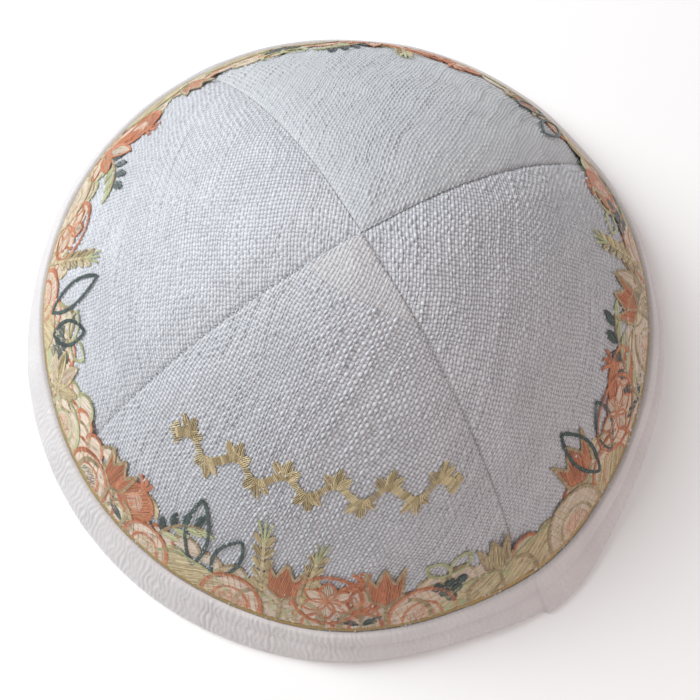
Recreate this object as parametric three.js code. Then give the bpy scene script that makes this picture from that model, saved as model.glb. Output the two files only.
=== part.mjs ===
// A kippah: a skullcap sewn from four curved gores, with a tape folded over its rim.
// Millimetres, +Z up. The rim's underside lies on z = 0 round the origin, and the front gore faces -Y.
import * as THREE from "three";

// Driving dimensions of the cap
const rimDiameter = 170; // across the open rim, over the tape
const capHeight = 71; // from the rim's underside to the crown
const panelWall = 1.4; // outer cloth, interlining and turned seams together
const seamGap = 0.3; // between neighbouring panels

// The soft cap doesn't stand quite straight: its crown lies this far off the middle of the rim
const leanRight = 2.4;
const leanBack = 5.4;

// The pulled rim is moved this far, so that the middle of the whole cap stands on the origin
const moveRight = -0.5;
const moveBack = 0.9;

// The seams sink a little below the round of the panels
const seamValleyDepth = 1.0;
const seamValleyReach = 9; // from the seam to where the panel is round again
const valleyFade = 8; // over this length above the tape a valley grows to its full depth

// The tape folded over the rim
const tapeHeight = 12; // outer face, measured up the side of the cap
const tapeInnerHeight = 9;
const tapeWall = 1.0;
const tapeClearance = 0.3; // between the tape and the panels' cloth
const tapeBulge = 0.8; // how far the rolled outer face stands proud of a flat fold
const tapeCrease = 0.45; // depth of the fold line that runs along the front and the right side
const tapeCorner = 0.5; // how far its free edges and the underside are rounded off

// The soft rim is pulled out of its circle, most of all where the tape's two ends are joined
const rimPull = 1.7;
const joinFlare = 4;
const joinAt = 324; // degrees about +Z from +X
const joinHalfWidth = 13.5; // degrees
const pullHeight = 22; // above the rim's underside the pull has run out

// Above the tape the side bulges
const sideBulge = 1.5;
const bulgeHeight = 14;
const bulgeFade = 26; // over this height above its fullest place the bulge runs out

// The side of the cap from the crown down to the rim: how steep it is at each share of the way
const sideSlopes = [
  { along: 0, degrees: 0 },
  { along: 0.25, degrees: 28 },
  { along: 0.5, degrees: 44 },
  { along: 0.75, degrees: 55 },
  { along: 1, degrees: 62 },
];

// The gores, anticlockwise from above. Angles are degrees about +Z from +X, seam to seam.
const gores = [
  { name: "front_panel", from: 222, to: 318 },
  { name: "right_panel", from: 318, to: 406 },
  { name: "back_panel", from: 46, to: 134 },
  { name: "left_panel", from: 134, to: 222 },
];

// How far the rim leaves its circle, as shares of rimPull outwards, and the side its curve, of sideBulge
const rimShape = [
  { at: 0, pull: 0.2, bulge: 0 },
  { at: 30, pull: -0.25, bulge: 0.65 },
  { at: 60, pull: -0.95, bulge: 0.2 },
  { at: 95, pull: -1, bulge: 0.25 },
  { at: 130, pull: 0.5, bulge: 0.45 },
  { at: 160, pull: -0.1, bulge: 0.95 },
  { at: 185, pull: -0.45, bulge: 1 },
  { at: 210, pull: -0.1, bulge: 0 },
  { at: 260, pull: 0.1, bulge: -0.25 },
  { at: 285, pull: 0.35, bulge: 0.35 },
  { at: 310, pull: 0.25, bulge: 0 },
  { at: 360, pull: 0.2, bulge: 0 },
];

// How deep the tape's fold line is round the rim, as a share of tapeCrease
const creaseRound = [
  { at: 0, share: 1 },
  { at: 50, share: 0.5 },
  { at: 130, share: 0 },
  { at: 235, share: 0 },
  { at: 290, share: 1 },
  { at: 360, share: 1 },
];

// The tape's outer face from its upper edge down: shares of its height, of the bulge and of the crease
const tapeFace = [
  { up: 0.93, bulge: 0.25, crease: 0 },
  { up: 0.8, bulge: 0.6, crease: 0 },
  { up: 0.62, bulge: 0.8, crease: 1 },
  { up: 0.45, bulge: 0.95, crease: 0.15 },
  { up: 0.28, bulge: 1, crease: 0 },
  { up: 0.14, bulge: 0.75, crease: 0 },
];

// Fineness of the faceted surfaces
const sideSteps = 120; // of the sum that draws the side
const panelRows = 18;
const panelColumns = 18;
const edgeCrowding = 0.7; // 0 spaces the columns evenly, 1 crowds them most towards the seams
const tapeSegments = 96;

const degrees = Math.PI / 180;
const smooth = (t) => {
  const s = THREE.MathUtils.clamp(t, 0, 1);
  return s * s * (3 - 2 * s);
};

// The value of a table's column at a place between its rows
function readTable(rows, key, column, place, ease = (share) => share) {
  const next = rows.findIndex((row) => row[key] >= place);
  if (next <= 0) return rows[Math.max(next, 0)][column];
  const [a, b] = [rows[next - 1], rows[next]];
  return THREE.MathUtils.lerp(a[column], b[column], ease((place - a[key]) / (b[key] - a[key])));
}

// The outer face of the panels in section, crown to rim, as points (distance from the axis, height)
function sideCurve() {
  const rimSlope = sideSlopes.at(-1).degrees * degrees;
  const standOff = (tapeClearance + tapeWall) / Math.sin(rimSlope) - tapeCorner / Math.tan(rimSlope);
  const points = [new THREE.Vector2(0, 0)];
  for (let i = 0; i < sideSteps; i++) {
    const slope = readTable(sideSlopes, "along", "degrees", (i + 0.5) / sideSteps) * degrees;
    const last = points[i];
    points.push(new THREE.Vector2(last.x + Math.cos(slope), last.y - Math.sin(slope)));
  }
  const end = points[sideSteps];
  const across = (rimDiameter / 2 - standOff) / end.x;
  const upright = capHeight / -end.y;
  return new THREE.SplineCurve(points.map((p) => new THREE.Vector2(p.x * across, capHeight + p.y * upright)));
}
const side = sideCurve();
const sideLength = side.getLength();
const rimTangent = side.getTangentAt(1);
const rimRadius = side.getPointAt(1).x;

// A point in section: up = length above the rim along the outer face, out = distance outwards from that face
function sidePoint(up, out) {
  const share = THREE.MathUtils.clamp(1 - up / sideLength, 0, 1);
  const point = side.getPointAt(share);
  const along = side.getTangentAt(share);
  return new THREE.Vector2(point.x - along.y * out, point.y + along.x * out);
}

// The same, for a given height near the rim, where the side is straight
function rimPoint(height, out) {
  const perOut = -1 / rimTangent.y;
  const perHeight = rimTangent.x / rimTangent.y;
  return new THREE.Vector2(rimRadius + out * perOut + height * perHeight, height);
}

// How far the cloth lies outside its round at an angle and a height: the rim's pull, and the bulge above it
function swellAt(angle, height) {
  const around = THREE.MathUtils.euclideanModulo(angle / degrees, 360);
  const fromJoin = THREE.MathUtils.euclideanModulo(around - joinAt + 180, 360) - 180;
  const flare = joinFlare * Math.exp(-((fromJoin / joinHalfWidth) ** 2));
  const pull = rimPull * readTable(rimShape, "at", "pull", around, smooth);
  const bulge = sideBulge * readTable(rimShape, "at", "bulge", around, smooth);
  const nearRim = THREE.MathUtils.clamp(1 - height / pullHeight, 0, 1) ** 1.5;
  const nearBulge = smooth(height / bulgeHeight) * (1 - smooth((height - bulgeHeight) / bulgeFade));
  return (flare + pull) * nearRim + bulge * nearBulge;
}

// A section point turned to its angle about the axis, with the cap's swells and lean
function turned(point, angle) {
  const r = point.x + swellAt(angle, point.y);
  const raised = point.y / capHeight;
  const x = r * Math.cos(angle) + raised * leanRight + moveRight;
  const y = r * Math.sin(angle) + raised * leanBack + moveBack;
  return [x, y, point.y];
}

// A closed mesh from corner positions and triangles
function solid(name, corners, faces, color, roughness) {
  const geometry = new THREE.BufferGeometry();
  geometry.setAttribute("position", new THREE.Float32BufferAttribute(corners.flat(), 3));
  geometry.setIndex(faces.flat());
  geometry.computeVertexNormals();
  const mesh = new THREE.Mesh(geometry, new THREE.MeshStandardMaterial({ color, roughness, metalness: 0 }));
  mesh.name = name;
  return mesh;
}

// One gore: a curved three-sided wall of cloth. Its tip is at the crown and its lower edge inside the tape.
function panel({ name, from, to }) {
  const [start, end] = [from * degrees, to * degrees];
  const halfGap = seamGap / 2;
  const tipRadius = halfGap / Math.sin((end - start) / 2);
  const tipUp = sideLength - tipRadius;
  const lowestUp = (tapeWall + tapeClearance + panelWall * rimTangent.x) / -rimTangent.y;

  // A valley is deepest on the side of the cap, and runs out at the crown and at the tape.
  const valleyAt = (angle, radius, up) => {
    const toSeam = radius * Math.sin(Math.min(angle - start, end - angle));
    const fade = smooth(radius / seamValleyReach) * smooth((up - tapeHeight) / valleyFade);
    return seamValleyDepth * fade * (1 - smooth(toSeam / seamValleyReach));
  };
  const corners = [];
  const corner = (angle, up, radius, depth) => {
    corners.push(turned(sidePoint(up, -depth - valleyAt(angle, radius, up)), angle));
    return corners.length - 1;
  };
  // A face's rows of corners, crown to rim; the first row is the tip alone.
  const face = (depth) => {
    const rows = [[corner((start + end) / 2, tipUp, tipRadius, depth)]];
    for (let i = 1; i <= panelRows; i++) {
      const up = THREE.MathUtils.lerp(tipUp, lowestUp, i / panelRows);
      const radius = sidePoint(up, 0).x;
      const inset = Math.asin(halfGap / radius);
      const row = [];
      for (let j = 0; j <= panelColumns; j++) {
        const even = j / panelColumns;
        const crowded = (1 - Math.cos(Math.PI * even)) / 2;
        const share = THREE.MathUtils.lerp(even, crowded, edgeCrowding);
        row.push(corner(THREE.MathUtils.lerp(start + inset, end - inset, share), up, radius, depth));
      }
      rows.push(row);
    }
    return rows;
  };
  const outer = face(0);
  const inner = face(panelWall);

  const faces = [];
  const quad = (a, b, c, d) => faces.push([a, b, c], [a, c, d]);
  for (let j = 0; j < panelColumns; j++) {
    faces.push([outer[0][0], outer[1][j], outer[1][j + 1]]);
    faces.push([inner[0][0], inner[1][j + 1], inner[1][j]]);
  }
  for (let i = 1; i < panelRows; i++)
    for (let j = 0; j < panelColumns; j++) {
      quad(outer[i][j], outer[i + 1][j], outer[i + 1][j + 1], outer[i][j + 1]);
      quad(inner[i][j + 1], inner[i + 1][j + 1], inner[i + 1][j], inner[i][j]);
    }
  for (let i = 0; i < panelRows; i++) {
    quad(outer[i][0], inner[i][0], inner[i + 1][0], outer[i + 1][0]);
    quad(inner[i].at(-1), outer[i].at(-1), outer[i + 1].at(-1), inner[i + 1].at(-1));
  }
  const [lastOuter, lastInner] = [outer[panelRows], inner[panelRows]];
  for (let j = 0; j < panelColumns; j++) quad(lastOuter[j], lastInner[j], lastInner[j + 1], lastOuter[j + 1]);
  return solid(name, corners, faces, 0xdcdde0, 0.8);
}

// The tape's section at an angle: a U round the panels' edge with a flat underside, anticlockwise
function tapeSection(angle) {
  const around = THREE.MathUtils.euclideanModulo(angle / degrees, 360);
  const crease = tapeCrease * readTable(creaseRound, "at", "share", around);
  const faceOut = tapeClearance + tapeWall;
  const liningOut = -(panelWall + tapeClearance);
  const hemOut = liningOut - tapeWall;
  const hemUp = (height) => (height - hemOut * rimTangent.x) / -rimTangent.y;
  return [
    rimPoint(tapeWall, tapeClearance),
    sidePoint(tapeHeight / 2, tapeClearance),
    sidePoint(tapeHeight, tapeClearance),
    sidePoint(tapeHeight, faceOut - tapeCorner),
    ...tapeFace.map((row) =>
      sidePoint(row.up * tapeHeight, faceOut + row.bulge * tapeBulge - row.crease * crease),
    ),
    rimPoint(tapeCorner, faceOut),
    rimPoint(0, faceOut - tapeCorner),
    rimPoint(0, hemOut + tapeCorner),
    sidePoint(hemUp(tapeCorner), hemOut),
    sidePoint((hemUp(tapeCorner) + tapeInnerHeight) / 2, hemOut),
    sidePoint(tapeInnerHeight, hemOut),
    sidePoint(tapeInnerHeight, liningOut),
    sidePoint((tapeInnerHeight + tapeWall) / 2, liningOut),
    rimPoint(tapeWall, liningOut),
  ];
}

// The tape: its section carried once round the rim
function tape() {
  const corners = [];
  const faces = [];
  for (let i = 0; i < tapeSegments; i++) {
    const angle = (i / tapeSegments) * 2 * Math.PI;
    tapeSection(angle).forEach((point) => corners.push(turned(point, angle)));
  }
  const count = corners.length / tapeSegments;
  for (let i = 0; i < tapeSegments; i++)
    for (let j = 0; j < count; j++) {
      const k = (j + 1) % count;
      const here = i * count;
      const there = ((i + 1) % tapeSegments) * count;
      faces.push([here + j, here + k, there + k], [here + j, there + k, there + j]);
    }
  return solid("rim_binding", corners, faces, 0xe4e1e2, 0.7);
}

const kippah = new THREE.Group();
gores.forEach((gore) => kippah.add(panel(gore)));
kippah.add(tape());

export default kippah;
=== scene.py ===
# %% [markdown]
# # A four-gore kippah in woven cloth
# The cap is four curved gores of slubbed white cloth, a ribbed tape folded over the rim, a thin gold
# satin line above the tape, and a band of embroidery. The imported model gives the true sizes. We dress
# it with real threads: the weave, the tape's ribs and every stitch are meshes. The materials add what is
# finer than a thread, and painted shade: darker hollows and lighter tops on the weave, the ribs and the
# satin line, and on each stitch a random shade, partly its own tone and partly a painted glint.

# %% Load the imported model
import math

import bmesh
import bpy
import numpy as np
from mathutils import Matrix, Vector


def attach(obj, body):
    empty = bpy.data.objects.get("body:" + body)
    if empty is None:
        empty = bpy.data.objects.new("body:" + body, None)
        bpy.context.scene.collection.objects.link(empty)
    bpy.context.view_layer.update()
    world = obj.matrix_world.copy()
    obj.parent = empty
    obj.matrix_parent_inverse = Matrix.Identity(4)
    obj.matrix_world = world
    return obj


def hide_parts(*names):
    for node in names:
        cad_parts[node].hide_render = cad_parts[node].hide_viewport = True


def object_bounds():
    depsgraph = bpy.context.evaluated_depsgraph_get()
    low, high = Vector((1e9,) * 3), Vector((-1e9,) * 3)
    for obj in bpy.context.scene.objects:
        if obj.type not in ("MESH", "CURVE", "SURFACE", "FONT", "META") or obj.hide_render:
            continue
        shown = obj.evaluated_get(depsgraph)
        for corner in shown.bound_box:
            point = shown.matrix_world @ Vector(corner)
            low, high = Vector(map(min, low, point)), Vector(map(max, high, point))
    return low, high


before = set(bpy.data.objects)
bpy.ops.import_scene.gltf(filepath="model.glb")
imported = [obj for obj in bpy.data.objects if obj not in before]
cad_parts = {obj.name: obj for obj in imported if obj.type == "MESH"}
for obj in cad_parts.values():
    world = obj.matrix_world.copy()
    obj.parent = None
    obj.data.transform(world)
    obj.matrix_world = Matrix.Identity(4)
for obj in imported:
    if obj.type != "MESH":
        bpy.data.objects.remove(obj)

mm = 0.001
cad_low, cad_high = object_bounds()
cad_size = cad_high - cad_low
print("packed cap, mm:", [round(side / mm, 1) for side in cad_size])

# %% [markdown]
# The side of the cap, in section, is the same curve that the solids follow: a short table says how
# steep it is on the way from the crown to the rim. Everything in this file is laid on that curve, so
# it has to be exact. A function that turns (angle, length above the rim, distance outwards) into a
# point is all that we need.

# %% The cap's own sizes, as the solids have them
rim_diameter = 170.0
cap_height = 71.0
panel_wall = 1.4
valley_reach = 9.0
valley_fade = 8.0
tape_height = 12.0
tape_inner_height = 9.0
tape_wall = 1.0
tape_clearance = 0.3
tape_bulge = 0.8
tape_crease = 0.45
tape_corner = 0.5
rim_pull = 1.7
join_flare = 4.0
join_at = 324
join_half_width = 13.5
pull_height = 22.0
side_bulge = 1.5
bulge_height = 14.0
bulge_fade = 26.0
shape_places = [0, 30, 60, 95, 130, 160, 185, 210, 260, 285, 310, 360]
shape_pulls = [0.2, -0.25, -0.95, -1, 0.5, -0.1, -0.45, -0.1, 0.1, 0.35, 0.25, 0.2]
shape_bulges = [0, 0.65, 0.2, 0.25, 0.45, 0.95, 1, 0, -0.25, 0.35, 0, 0]
lean_right = 2.4
lean_back = 5.4
move_right = -0.5
move_back = 0.9
slope_places = [0, 0.25, 0.5, 0.75, 1]
slope_degrees = [0, 28, 44, 55, 62]
slope_steps = 120

rim_slope = math.radians(slope_degrees[-1])
stand_off = (tape_clearance + tape_wall) / math.sin(rim_slope) - tape_corner / math.tan(rim_slope)
slopes = np.radians(np.interp((np.arange(slope_steps) + 0.5) / slope_steps, slope_places, slope_degrees))
side_radius = np.concatenate([[0], np.cumsum(np.cos(slopes))])
side_radius *= (rim_diameter / 2 - stand_off) / side_radius[-1]
side_height = np.concatenate([[0], np.cumsum(np.sin(slopes))])
side_height = cap_height * (1 - side_height / side_height[-1])
side_steps = np.hypot(np.diff(side_radius), np.diff(side_height))
side_length = np.concatenate([[0], np.cumsum(side_steps)])
cap_side = side_length[-1]
side_cos = np.gradient(side_radius, side_length)
side_sin = -np.gradient(side_height, side_length)
print(f"from crown to rim along the side: {cap_side:.1f} mm")


def smooth(t):
    """A soft step from 0 to 1."""
    s = np.clip(t, 0, 1)
    return s * s * (3 - 2 * s)


def radius_at(up):
    """The cap's radius at a length above the rim."""
    return np.interp(cap_side - up, side_length, side_radius)


def eased(places, values, place):
    """A table's value at a place between its rows, with a soft step from row to row."""
    places, values = np.array(places, float), np.array(values, float)
    row = np.clip(np.searchsorted(places, place, side="right") - 1, 0, len(places) - 2)
    share = smooth((place - places[row]) / (places[row + 1] - places[row]))
    return values[row] * (1 - share) + values[row + 1] * share


def swell(angle, height):
    """How far the cloth lies outside its round: the rim's pull, and the bulge above it."""
    around = np.degrees(angle) % 360
    from_join = (around - join_at + 180) % 360 - 180
    pull = rim_pull * eased(shape_places, shape_pulls, around)
    pull = pull + join_flare * np.exp(-((from_join / join_half_width) ** 2))
    bulge = side_bulge * eased(shape_places, shape_bulges, around)
    near_bulge = smooth(height / bulge_height) * (1 - smooth((height - bulge_height) / bulge_fade))
    return pull * np.clip(1 - height / pull_height, 0, 1) ** 1.5 + bulge * near_bulge


def cap_point(angle, up, out):
    """Points, in metres, from angles, lengths above the rim and distances outwards in millimetres."""
    along = cap_side - np.maximum(up, 0)
    cos = np.interp(along, side_length, side_cos)
    sin = np.interp(along, side_length, side_sin)
    below = np.minimum(up, 0)
    radius = np.interp(along, side_length, side_radius) - below * cos + out * sin
    height = np.interp(along, side_length, side_height) + below * sin + out * cos
    radius = radius + swell(angle, height)
    raised = height / cap_height
    x = radius * np.cos(angle) + raised * lean_right + move_right
    y = radius * np.sin(angle) + raised * lean_back + move_back
    return np.stack([x, y, height], axis=-1) * mm


# %% [markdown]
# Cloth, tape and thread each need small helpers: one that moves all of a mesh's vertices at once,
# ones that write its painted shade value and a UV map in real millimetres, and one that makes the
# finished piece ride on the cap's body. Numbers that change from thread to thread come from a seeded
# generator, so every run gives the same cap.

# %% Small helpers for pieces
dice = np.random.default_rng(1948)


def finished(mesh, name, slot, *nodes):
    """A named piece of the cap, smooth shaded, that rides on its one body."""
    piece = bpy.data.objects.new(name, mesh)
    bpy.context.scene.collection.objects.link(piece)
    mesh.polygons.foreach_set("use_smooth", np.ones(len(mesh.polygons), bool))
    mesh.update()
    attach(piece, "root")
    if nodes:
        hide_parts(*nodes)
    mesh.calc_loop_triangles()
    print(f"{name}: {len(mesh.loop_triangles)} triangles")
    return piece


def vertex_layer(mesh, name):
    """A number that each vertex carries, as an array."""
    values = np.zeros(len(mesh.vertices), np.float32)
    mesh.attributes[name].data.foreach_get("value", values)
    return values.astype(float)


def vertex_places(mesh):
    """All vertices' places as an array, three numbers a row."""
    places = np.zeros(len(mesh.vertices) * 3, np.float32)
    mesh.vertices.foreach_get("co", places)
    return places.reshape(-1, 3).astype(float)


def move_vertices(mesh, places):
    """Puts the vertices at new places."""
    mesh.vertices.foreach_set("co", places.astype(np.float32).ravel())
    mesh.update()


def write_painted_shade(mesh, painted_relief_shade):
    """A value from 0 to 1 at each vertex, which the materials turn into painted shade, dark to light."""
    layer = mesh.attributes.new("painted_relief_shade", "FLOAT", "POINT")
    layer.data.foreach_set("value", painted_relief_shade.astype(np.float32))


def write_uv(mesh, across, along):
    """A UV map in millimetres, from two numbers for each vertex."""
    corners = np.zeros(len(mesh.loops), np.int32)
    mesh.loops.foreach_get("vertex_index", corners)
    uv = np.stack([across[corners], along[corners]], axis=-1)
    layer = mesh.uv_layers.get("threads") or mesh.uv_layers.new(name="threads")
    layer.uv.foreach_set("vector", uv.astype(np.float32).ravel())


# %% [markdown]
# Materials come next. Threads share one effect: fibres that run along the yarn, seen as fine streaks.
# It is a node group with named inputs and outputs, built once and placed in each material with its
# own numbers. It reads the UV map, which is in millimetres along and across the yarns, so its scale
# is true on a curved cap.

# %% Node helpers and the shared fibre group
def add_node(tree, kind, **settings):
    """A node with its settings, in one line."""
    node = tree.nodes.new(kind)
    for key, value in settings.items():
        setattr(node, key, value)
    return node


def math_node(tree, operation, first, second):
    """A Math node; each input is a socket or a number."""
    node = add_node(tree, "ShaderNodeMath", operation=operation)
    for socket, value in zip(node.inputs, (first, second)):
        if isinstance(value, bpy.types.NodeSocket):
            tree.links.new(value, socket)
        elif value is not None:
            socket.default_value = value
    return node.outputs[0]


def make_fibre_group():
    """Streaks along a yarn: a value near 0.5 that varies, and a coarser one for its colour."""
    group = bpy.data.node_groups.new("yarn_fibres", "ShaderNodeTree")
    face = group.interface
    face.new_socket("Along", in_out="INPUT", socket_type="NodeSocketFloat").default_value = 1.0
    face.new_socket("Across", in_out="INPUT", socket_type="NodeSocketFloat").default_value = 8.0
    face.new_socket("Streaks", in_out="OUTPUT", socket_type="NodeSocketFloat")
    face.new_socket("Cloudy", in_out="OUTPUT", socket_type="NodeSocketFloat")
    inside = add_node(group, "NodeGroupInput")
    outside = add_node(group, "NodeGroupOutput")
    uv = add_node(group, "ShaderNodeUVMap", uv_map="threads")
    apart = add_node(group, "ShaderNodeSeparateXYZ")
    group.links.new(uv.outputs[0], apart.inputs[0])
    together = add_node(group, "ShaderNodeCombineXYZ")
    across = math_node(group, "MULTIPLY", apart.outputs[0], inside.outputs["Across"])
    along = math_node(group, "MULTIPLY", apart.outputs[1], inside.outputs["Along"])
    group.links.new(across, together.inputs[0])
    group.links.new(along, together.inputs[1])
    streaks = add_node(group, "ShaderNodeTexNoise")
    streaks.inputs["Scale"].default_value = 1.0
    streaks.inputs["Detail"].default_value = 3.0
    group.links.new(together.outputs[0], streaks.inputs["Vector"])
    cloudy = add_node(group, "ShaderNodeTexNoise")
    cloudy.inputs["Scale"].default_value = 0.09
    cloudy.inputs["Detail"].default_value = 4.0
    group.links.new(uv.outputs[0], cloudy.inputs["Vector"])
    group.links.new(streaks.outputs["Fac"], outside.inputs["Streaks"])
    group.links.new(cloudy.outputs["Fac"], outside.inputs["Cloudy"])
    return group


def make_weave_group():
    """Rounded threads that pass over and under each other, finer than the mesh can hold."""
    group = bpy.data.node_groups.new("plain_weave", "ShaderNodeTree")
    face = group.interface
    for socket_name, value in (("Warp Pitch", 0.80), ("Weft Pitch", 0.97), ("Crimp", 0.85), ("Bead", 0.5)):
        face.new_socket(socket_name, in_out="INPUT", socket_type="NodeSocketFloat").default_value = value
    face.new_socket("Height", in_out="OUTPUT", socket_type="NodeSocketFloat")
    inside = add_node(group, "NodeGroupInput")
    outside = add_node(group, "NodeGroupOutput")
    uv = add_node(group, "ShaderNodeUVMap", uv_map="threads")
    apart = add_node(group, "ShaderNodeSeparateXYZ")
    group.links.new(uv.outputs[0], apart.inputs[0])
    waves = []
    for axis, pitch in ((0, "Warp Pitch"), (1, "Weft Pitch")):
        turn = math_node(group, "DIVIDE", math.pi, inside.outputs[pitch])
        phase = math_node(group, "MULTIPLY", apart.outputs[axis], turn)
        waves.append(math_node(group, "COSINE", phase, None))
    warp, weft = waves
    tops = []
    for thread, other, side in ((warp, weft, 1.0), (weft, warp, -1.0)):
        over = math_node(group, "MULTIPLY", math_node(group, "SIGN", thread, None), other)
        over = math_node(group, "MULTIPLY", over, inside.outputs["Crimp"])
        lifted = math_node(group, "ADD", 1.0, math_node(group, "MULTIPLY", over, side))
        tops.append(math_node(group, "MULTIPLY", math_node(group, "ABSOLUTE", thread, None), lifted))
    bead = math_node(group, "ADD", 0.6, math_node(group, "MULTIPLY", inside.outputs["Bead"], 0.9))
    tops[0] = math_node(group, "MULTIPLY", tops[0], bead)
    tops[1] = math_node(group, "MULTIPLY", tops[1], 0.52)
    height = math_node(group, "MAXIMUM", tops[0], tops[1])
    group.links.new(height, outside.inputs["Height"])
    return group


fibre_group = make_fibre_group()
weave_group = make_weave_group()
print("node groups:", fibre_group.name, weave_group.name)


def srgb(red, green, blue):
    """A colour as the eye reads it, 0 to 255, turned into the linear one that the shader wants."""
    parts = [c / 255 for c in (red, green, blue)]
    return tuple(c / 12.92 if c <= 0.04045 else ((c + 0.055) / 1.055) ** 2.4 for c in parts) + (1.0,)


def mix_colours(tree, share, first, second):
    """A colour between two, by a socket or a number; each colour is a socket or four numbers."""
    node = add_node(tree, "ShaderNodeMix", data_type="RGBA")
    for socket, value in ((node.inputs[0], share), (node.inputs[6], first), (node.inputs[7], second)):
        if isinstance(value, bpy.types.NodeSocket):
            tree.links.new(value, socket)
        else:
            socket.default_value = value
    return node.outputs[2]


def spread(tree, value, low, high, to_low, to_high):
    """Stretches one range of a value onto another, held at its ends."""
    node = add_node(tree, "ShaderNodeMapRange")
    tree.links.new(value, node.inputs["Value"])
    for name, number in (("From Min", low), ("From Max", high), ("To Min", to_low), ("To Max", to_high)):
        node.inputs[name].default_value = number
    return node.outputs["Result"]


def thread_material(name, light, dark, along, across, roughness, sheen=0.3, metallic=0.0, woven=False):
    """A thread or cloth finish: fibres in its colour and its bump, painted shade, and a soft sheen."""
    material = bpy.data.materials.new(name)
    material.use_nodes = True
    tree = material.node_tree
    shader = tree.nodes["Principled BSDF"]
    fibres = add_node(tree, "ShaderNodeGroup", node_tree=fibre_group)
    fibres.inputs["Along"].default_value = along
    fibres.inputs["Across"].default_value = across
    streaks, cloudy = fibres.outputs["Streaks"], fibres.outputs["Cloudy"]
    # Painted shade from the mesh: its per-vertex shade value, 0 to 1, helps pick between the dark and the
    # light colour.
    painted_relief_shade = add_node(tree, "ShaderNodeAttribute", attribute_name="painted_relief_shade").outputs["Fac"]
    height = math_node(tree, "MULTIPLY", streaks, 0.3)
    shade = spread(tree, streaks, 0.3, 0.7, 0.0, 1.0)
    if woven:
        weave_node = add_node(tree, "ShaderNodeGroup", node_tree=weave_group)
        tree.links.new(painted_relief_shade, weave_node.inputs["Bead"])
        threads_top = weave_node.outputs["Height"]
        height = math_node(tree, "ADD", height, threads_top)
        # Painted shade on woven cloth: lighter where the threads stand high, darker in the gaps between them.
        painted_relief_shade = math_node(tree, "ADD", math_node(tree, "MULTIPLY", painted_relief_shade, 0.2), threads_top)
        painted_relief_shade = spread(tree, painted_relief_shade, 0.1, 1.1, 0.0, 1.0)
    share = 0.2 if woven else 0.45
    shade = math_node(tree, "MULTIPLY", shade, share)
    shade = math_node(tree, "ADD", shade, math_node(tree, "MULTIPLY", painted_relief_shade, 1 - share))
    # The colour is fibre streaks mixed with painted shade, between the dark and the light colour.
    colour = mix_colours(tree, shade, dark, light)
    tint = spread(tree, cloudy, 0.3, 0.7, 0.93, 1.03)
    tinted = add_node(tree, "ShaderNodeVectorMath", operation="SCALE")
    tree.links.new(colour, tinted.inputs[0])
    tree.links.new(tint, tinted.inputs["Scale"])
    tree.links.new(tinted.outputs[0], shader.inputs["Base Color"])
    gloss = spread(tree, streaks, 0.3, 0.7, roughness + 0.1, roughness - 0.08)
    tree.links.new(gloss, shader.inputs["Roughness"])
    shader.inputs["Metallic"].default_value = metallic
    shader.inputs["Sheen Weight"].default_value = sheen
    shader.inputs["Sheen Roughness"].default_value = 0.4
    shader.inputs["Specular IOR Level"].default_value = 0.45
    relief_bump = add_node(tree, "ShaderNodeBump")
    relief_bump.inputs["Strength"].default_value = 0.8
    relief_bump.inputs["Distance"].default_value = 0.16 * mm
    tree.links.new(height, relief_bump.inputs["Height"])
    tree.links.new(relief_bump.outputs[0], shader.inputs["Normal"])
    return material


# %% [markdown]
# The finishes: the cloth is a cool white linen look with a slight lustre, and the tape a warmer
# white. The embroidery threads are rayon, which is glossier, in rust, khaki, dark green, pale green
# and cream, and the gold is a metallised thread. Each has a light and a dark colour. The fibres mix
# the two, and so does a painted shade: on the cloth, the tape and the gold line the dark colour is
# painted shade in the hollows between threads and ribs and the light one their lit tops; on the
# embroidery a random shade per stitch is partly the thread's own tone and partly a painted glint.

# %% The finishes
# On the woven finishes the dark colour is painted shade in the gaps between threads, the light one the lit
# thread tops.
cloth = thread_material(
    "slub_cloth", srgb(219, 221, 226), srgb(115, 116, 122), 0.6, 9.0, 0.46, woven=True,
)
pressed_cloth = thread_material(
    "pressed_slub_cloth", srgb(206, 209, 213), srgb(155, 158, 162), 0.6, 9.0, 0.48, woven=True,
)
inside_cloth = thread_material(
    "wrong_side", srgb(214, 214, 216), srgb(132, 132, 138), 2.0, 6.0, 0.7, woven=True,
)
# On the tape and the gold line the dark colour is painted shade in the hollows between ribs and stitches.
tape_cloth = thread_material("binding_tape", srgb(225, 221, 221), srgb(190, 186, 186), 6.0, 1.2, 0.6)
line_thread = thread_material(
    "gold_line_thread", srgb(212, 184, 124), srgb(122, 96, 54), 2.5, 12, 0.38, 0.1, 0.25,
)
# On the embroidery the two colours bound a random shade per stitch, partly the thread's own tone and partly a
# painted glint.
threads = {
    "rust": thread_material("rust_thread", srgb(230, 150, 104), srgb(156, 86, 50), 1.5, 14, 0.42),
    "gold": thread_material("gold_thread", srgb(246, 230, 188), srgb(134, 112, 72), 2.5, 12, 0.36, 0.1, 0.25),
    "khaki": thread_material("khaki_thread", srgb(206, 186, 146), srgb(126, 104, 72), 1.5, 14, 0.45),
    "green": thread_material("dark_green_thread", srgb(82, 104, 98), srgb(30, 46, 44), 1.5, 14, 0.45),
    "lime": thread_material("pale_green_thread", srgb(214, 216, 172), srgb(150, 152, 102), 1.5, 14, 0.42),
    "cream": thread_material("cream_thread", srgb(242, 228, 210), srgb(196, 172, 146), 1.5, 14, 0.45),
}
print("finishes:", len(bpy.data.materials))

# %% [markdown]
# A gore is cut flat, then sewn into the dome. The weave is therefore laid out flat: a grid whose
# lines are half a thread apart, turned to the cloth's grain. A function bends that grid onto the cap,
# and three flat cuts trim it to its two seams and its lower edge. A subdivided sphere would be
# quicker, but its threads would follow the sphere's poles instead of running straight through the
# cloth, and that straight grain is what makes it look cut and sewn.

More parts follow.
